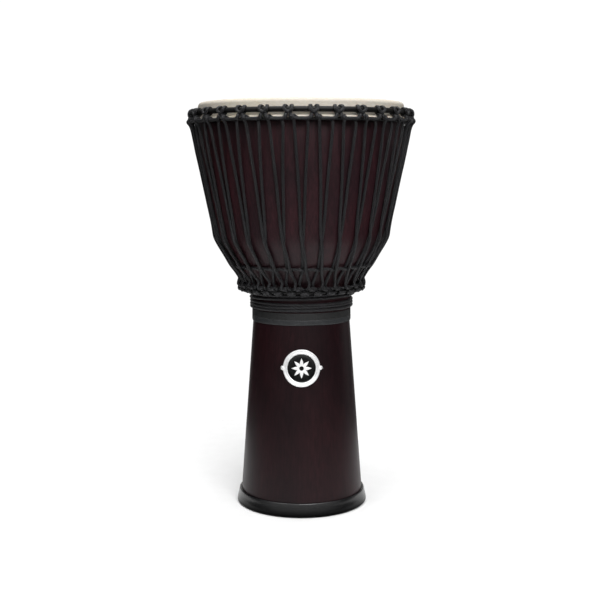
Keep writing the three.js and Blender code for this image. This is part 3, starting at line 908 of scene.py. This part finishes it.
def goat_hide():
    """Shaved cream hide with warm and pinkish patches, fine follicles and faint fibres, with painted light
    making it lighter under the crown ring and painted shade making it near black below the hoop.
    """
    shader = Shader("goat_hide", Roughness=0.62)
    shader.surface.inputs["Subsurface Weight"].default_value = 0.08
    shader.surface.inputs["Subsurface Radius"].default_value = (0.004, 0.0022, 0.0012)
    broad = shader.noise(shader.place((1, 1, 0.6)), 9, detail=3, roughness=0.6)
    fibres = shader.noise(shader.place((1.0, 1.0, 4.0)), 160, detail=5, roughness=0.65, distortion=0.6)
    hue = shader.ramp(broad, [
        (0.32, (0.62, 0.575, 0.470)),
        (0.50, (0.59, 0.548, 0.473)),
        (0.68, (0.57, 0.530, 0.473)),
    ])
    veins = shader.ramp(fibres, [(0.3, (0.88, 0.85, 0.80)), (0.62, (1.05, 1.05, 1.05))])
    cells = shader.node("ShaderNodeTexVoronoi", {"Vector": shader.place(), "Scale": 620.0}, feature="F1")
    follicle = shader.math("SMOOTH_MIN", cells.outputs["Distance"], 0.35, 0.1)
    spots = shader.ramp(follicle, [(0.05, (0.86, 0.82, 0.76)), (0.22, (1, 1, 1))])
    cream = shader.mix(1.0, shader.mix(1.0, hue, veins, "MULTIPLY"), spots, "MULTIPLY")
    # Painted light: below 617 mm the hide's colour is raised up to 1.36 times, standing in for light lost in
    # the crown ring's shade.
    painted_light_inputs = {0: cream, "Scale": shader.climb(611, 617, 1.36, 1.0)}
    painted_light_cream = shader.node("ShaderNodeVectorMath", painted_light_inputs, operation="SCALE").outputs[0]
    # Painted shade: the hide below the middle of the flesh hoop is near black, standing in for the shadow
    # under the crown cradle's rope.
    above_painted_hem_shade = shader.climb(HOOP_HEIGHT - 0.1, HOOP_HEIGHT + 1.1)
    shader.colour(shader.mix(above_painted_hem_shade, (0.006, 0.0055, 0.005, 1), painted_light_cream))
    shader.rough(shader.span(fibres, 0.5, 0.74))
    pits = shader.bump(follicle, 0.00018, 0.5)
    shader.bump(fibres, 0.00022, 0.4, below=pits)
    return shader.material


def black_coating():
    """Powder coat: orange peel and slightly worn, shinier patches."""
    shader = Shader("black_coating", Specular_IOR_Level=0.22)
    peel = shader.noise(shader.place(), 1100, detail=2)
    worn = shader.noise(shader.place(), 55, detail=4)
    shader.colour(shader.ramp(worn, [(0.35, (0.0050, 0.0048, 0.0048)), (0.7, (0.0095, 0.0090, 0.0088))]))
    shader.rough(shader.span(worn, 0.40, 0.56))
    shader.bump(peel, 0.00006, 0.5)
    return shader.material


def foot_rubber():
    """Mottled black rubber, painted near black towards its bottom edge as contact shade, matt there and
    shinier towards its top lip.
    """
    shader = Shader("foot_rubber")
    above = shader.climb(4, 18.5)
    mottled = shader.noise(shader.place((1, 1, 2.5)), 90, detail=5, roughness=0.6)
    grain = shader.noise(shader.place(), 1700, detail=2)
    rubber = shader.ramp(mottled, [(0.3, (0.0034, 0.0035, 0.0040)), (0.7, (0.0072, 0.0071, 0.0074))])
    # Painted shade: the colour fades to near black from 18.5 mm down to 4 mm, standing in for contact shadow
    # at the floor.
    shader.colour(shader.mix(above, (0.0012, 0.0012, 0.0012, 1), rubber))
    shader.put(shader.surface.inputs["Specular IOR Level"], shader.span(above, 0.03, 0.62))
    shader.rough(shader.span(mottled, 0.15, 0.28))
    shader.bump(grain, 0.00005, 0.45)
    return shader.material


def band_rubber():
    """Ribbed black rubber: upright ribs about 3 mm apart, with a shinier lower half painted lighter as a
    reflection.
    """
    shader = Shader("band_rubber", Roughness=0.44)
    split = shader.node("ShaderNodeSeparateXYZ", {0: shader.node("ShaderNodeTexCoord").outputs["UV"]})
    ribs = shader.math("SINE", shader.math("MULTIPLY", split.outputs[0], 2 * math.pi * 168))
    upper = shader.climb(BAND_GROOVE - 1, BAND_GROOVE + 1)
    mottled = shader.noise(shader.place(), 120, detail=4)
    # Painted reflection: below the groove the rubber is about twice as light, standing in for the floor's
    # light on the band's lower part.
    low = shader.ramp(mottled, [(0.3, (0.018, 0.0195, 0.021)), (0.7, (0.026, 0.028, 0.030))])
    high = shader.ramp(mottled, [(0.3, (0.0075, 0.0078, 0.0082)), (0.7, (0.0125, 0.0128, 0.0130))])
    shader.colour(shader.mix(upper, low, high))
    shader.rough(shader.span(shader.math("ADD", upper, mottled), 0.36, 0.56))
    ridges = shader.bump(ribs, 0.00010, 0.6)
    shader.bump(shader.noise(shader.place(), 1400, detail=2), 0.00005, 0.4, below=ridges)
    return shader.material


def plated_metal():
    """Bright satin plating with fine scratches."""
    shader = Shader("plated_metal", Metallic=0.4)
    scratches = shader.noise(shader.place((1, 1, 14)), 900, detail=4, roughness=0.7)
    tone = shader.noise(shader.place(), 160, detail=3)
    shader.colour(shader.ramp(tone, [(0.3, (0.90, 0.90, 0.91)), (0.7, (0.98, 0.98, 0.98))]))
    shader.rough(shader.span(scratches, 0.30, 0.46))
    shader.bump(scratches, 0.00002, 0.3)
    return shader.material


def hoop_steel():
    shader = Shader("hoop_steel", Metallic=1.0)
    drawn = shader.noise(shader.place((1, 1, 9)), 700, detail=4)
    shader.colour(shader.ramp(drawn, [(0.3, (0.36, 0.36, 0.37)), (0.7, (0.50, 0.50, 0.51))]))
    shader.rough(shader.span(drawn, 0.3, 0.5))
    shader.bump(drawn, 0.00003, 0.4)
    return shader.material


def white_enamel():
    shader = Shader("white_enamel", Roughness=0.3)
    shade = shader.noise(shader.place(), 240, detail=3)
    shader.colour(shader.ramp(shade, [(0.3, (0.84, 0.84, 0.84)), (0.7, (0.92, 0.92, 0.92))]))
    shader.rough(shader.span(shade, 0.24, 0.36))
    shader.bump(shade, 0.00003, 0.4)
    return shader.material


def black_enamel():
    shader = Shader("black_enamel", Roughness=0.22)
    shade = shader.noise(shader.place(), 220, detail=3)
    shader.colour(shader.ramp(shade, [(0.3, (0.0016, 0.0016, 0.0018)), (0.7, (0.0034, 0.0034, 0.0036))]))
    shader.rough(shader.span(shade, 0.18, 0.30))
    shader.bump(shade, 0.00003, 0.3)
    return shader.material


# ---------------------------------------------------------------- the drum

rope = braided_rope()
metal = plated_metal()
coating = black_coating()

# Painted light: one wood, made 2.1 times as bright on the bowl, which the ropes shade, and 0.85 times on the
# stem.
finish_piece(bowl_shell(), lacquered_wood("bowl_wood", 2.1, 0.31, 0.44), "shell_wood", "bowl_shell")
finish_piece(stem_shell(), lacquered_wood("stem_wood", 0.85, 0.20, 0.32), "shell_wood", "stem_shell")
finish_piece(rubber_foot(), foot_rubber(), "foot_rubber", "rubber_foot")
finish_piece(neck_band(), band_rubber(), "band_rubber", "neck_band")
hide = finish_piece(head_skin(), goat_hide(), "head_hide", "head_skin")
finish_piece(
    ring("hoop_rod", HOOP_RADIUS, HOOP_HEIGHT, HOOP_ROD, sides=14), hoop_steel(), "hoop_steel", "flesh_hoop",
)
finish_piece(
    ring("crown_rod", CROWN_RADIUS, CROWN_HEIGHT, CROWN_ROD), coating, "ring_black", "crown_ring",
)
finish_piece(
    ring("bottom_rod", BOTTOM_RADIUS, BOTTOM_HEIGHT, BOTTOM_ROD), coating, "ring_black", "bottom_ring",
)
top_cradle = cradle("crown_cradle", 180, TOP_LOOP, TOP_HITCH, CROWN_RADIUS, CROWN_HEIGHT, seed=1)
finish_piece(top_cradle, rope, "rope_black", "top_cradle_rope")
arc_bearing = 180 + PITCH / 2 + BOTTOM_TURN
low_cradle = cradle(
    "foot_cradle", arc_bearing, BOTTOM_LOOP, BOTTOM_HITCH, BOTTOM_RADIUS, BOTTOM_HEIGHT, seed=2,
)
finish_piece(low_cradle, rope, "rope_black", "bottom_cradle_rope")
finish_piece(lacing_rope(), rope, "rope_black", "lacing_rope")
knot_radius = strand_radius(KNOT_HEIGHT, 2.6)
for name, offset, seed in (("lacing_knot_left", -9.8, 6), ("lacing_knot_right", 9.7, 7)):
    knot = whipping(name, 180, offset, knot_radius, KNOT_HEIGHT, seed)
    finish_piece(knot, rope, "rope_black")
finish_piece(weave_rope(), rope, "rope_black", "weave_rope")
finish_piece(neck_wrap(), rope, "rope_black", "neck_wrap_rope")

finish_piece(badge_plate(), metal, "badge_metal", "badge_plate")
finish_piece(badge_inlay(), black_enamel(), "badge_black", "badge_inlay")
finish_piece(badge_motif(), white_enamel(), "badge_metal")
finish_piece(rivet("rivet_left", -1), metal, "badge_metal", "badge_rivet_left")
finish_piece(rivet("rivet_right", 1), metal, "badge_metal", "badge_rivet_right")


# ---------------------------------------------------------------- studio

def studio_floor():
    """A round pale table top that reaches past the bottom of the picture."""
    mesh = bpy.data.meshes.new("floor")
    reach, corners = 0.56, 128
    turns = [2 * math.pi * i / corners for i in range(corners)]
    mesh.from_pydata([(reach * math.cos(a), reach * math.sin(a), 0) for a in turns], [], [range(corners)])
    floor = bpy.data.objects.new("floor", mesh)
    bpy.context.scene.collection.objects.link(floor)
    shader = Shader("floor_paper", Roughness=0.8)
    shader.surface.inputs["Specular IOR Level"].default_value = 0.1
    tooth = shader.noise(shader.place(), 40, detail=3)
    shader.colour(shader.ramp(tooth, [(0.3, (0.88, 0.88, 0.88)), (0.7, (0.90, 0.90, 0.90))]))
    mesh.materials.append(shader.material)


def softbox(name, place, aim, width, height, power):
    light = bpy.data.lights.new(name, "AREA")
    light.shape = "RECTANGLE"
    light.size, light.size_y = width, height
    light.energy = power
    lamp = bpy.data.objects.new(name, light)
    lamp.location = place
    lamp.rotation_euler = (Vector(aim) - Vector(place)).to_track_quat("-Z", "Y").to_euler()
    bpy.context.scene.collection.objects.link(lamp)


def studio_world():
    """A white sweep as seen. As light: bright behind, and in front above the horizon; dim elsewhere."""
    world = bpy.data.worlds.new("studio")
    world.use_nodes = True
    tree = world.node_tree
    tree.nodes.clear()
    seen = tree.nodes.new("ShaderNodeBackground")
    seen.inputs["Color"].default_value = (1, 1, 1, 1)
    seen.inputs["Strength"].default_value = 1.05
    light = tree.nodes.new("ShaderNodeBackground")
    place = tree.nodes.new("ShaderNodeTexCoord")
    split = tree.nodes.new("ShaderNodeSeparateXYZ")
    tree.links.new(place.outputs["Generated"], split.inputs[0])
    parts = []
    for socket, start, end, strength in ((1, 0.80, 1.0, 0.8), (1, 0.0, -0.8, 1.0), (2, -0.12, 0.20, 0.85)):
        ease = tree.nodes.new("ShaderNodeMapRange")
        ease.interpolation_type = "SMOOTHSTEP"
        ease.inputs["From Min"].default_value = start
        ease.inputs["From Max"].default_value = end
        ease.inputs["To Max"].default_value = strength
        tree.links.new(split.outputs[socket], ease.inputs["Value"])
        parts.append(ease.outputs[0])
    front = tree.nodes.new("ShaderNodeMath")
    front.operation = "MULTIPLY_ADD"
    tree.links.new(parts[1], front.inputs[0])
    tree.links.new(parts[2], front.inputs[1])
    front.inputs[2].default_value = 0.03
    both = tree.nodes.new("ShaderNodeMath")
    tree.links.new(parts[0], both.inputs[0])
    tree.links.new(front.outputs[0], both.inputs[1])
    tree.links.new(both.outputs[0], light.inputs["Strength"])
    path = tree.nodes.new("ShaderNodeLightPath")
    mix = tree.nodes.new("ShaderNodeMixShader")
    out = tree.nodes.new("ShaderNodeOutputWorld")
    tree.links.new(path.outputs["Is Camera Ray"], mix.inputs[0])
    tree.links.new(light.outputs[0], mix.inputs[1])
    tree.links.new(seen.outputs[0], mix.inputs[2])
    tree.links.new(mix.outputs[0], out.inputs[0])
    bpy.context.scene.world = world


def camera():
    made = bpy.data.cameras.new("camera")
    made.lens = 64.61
    made.sensor_width = 36
    made.clip_end = 60
    holder = bpy.data.objects.new("camera", made)
    holder.location = (-0.0017, -1.7035, 0.54277)
    holder.rotation_euler = Euler((math.radians(82.7335), math.radians(0.13), 0))
    bpy.context.scene.collection.objects.link(holder)
    bpy.context.scene.camera = holder


studio_floor()
studio_world()
softbox("key", (0.6, -2.1, 2.0), (0, 0, 0.35), 1.4, 1.0, 44)
softbox("fill", (-1.5, -1.7, 1.9), (0, 0, 0.35), 1.2, 1.2, 7)
softbox("overhead", (0, 0.1, 4.6), (0, 0, 0), 4.6, 4.6, 250)
softbox("right_strip", (1.7, 0.9, 0.7), (0, 0, 0.3), 0.9, 1.6, 1.8)
camera()
bpy.context.scene.view_settings.view_transform = "Standard"
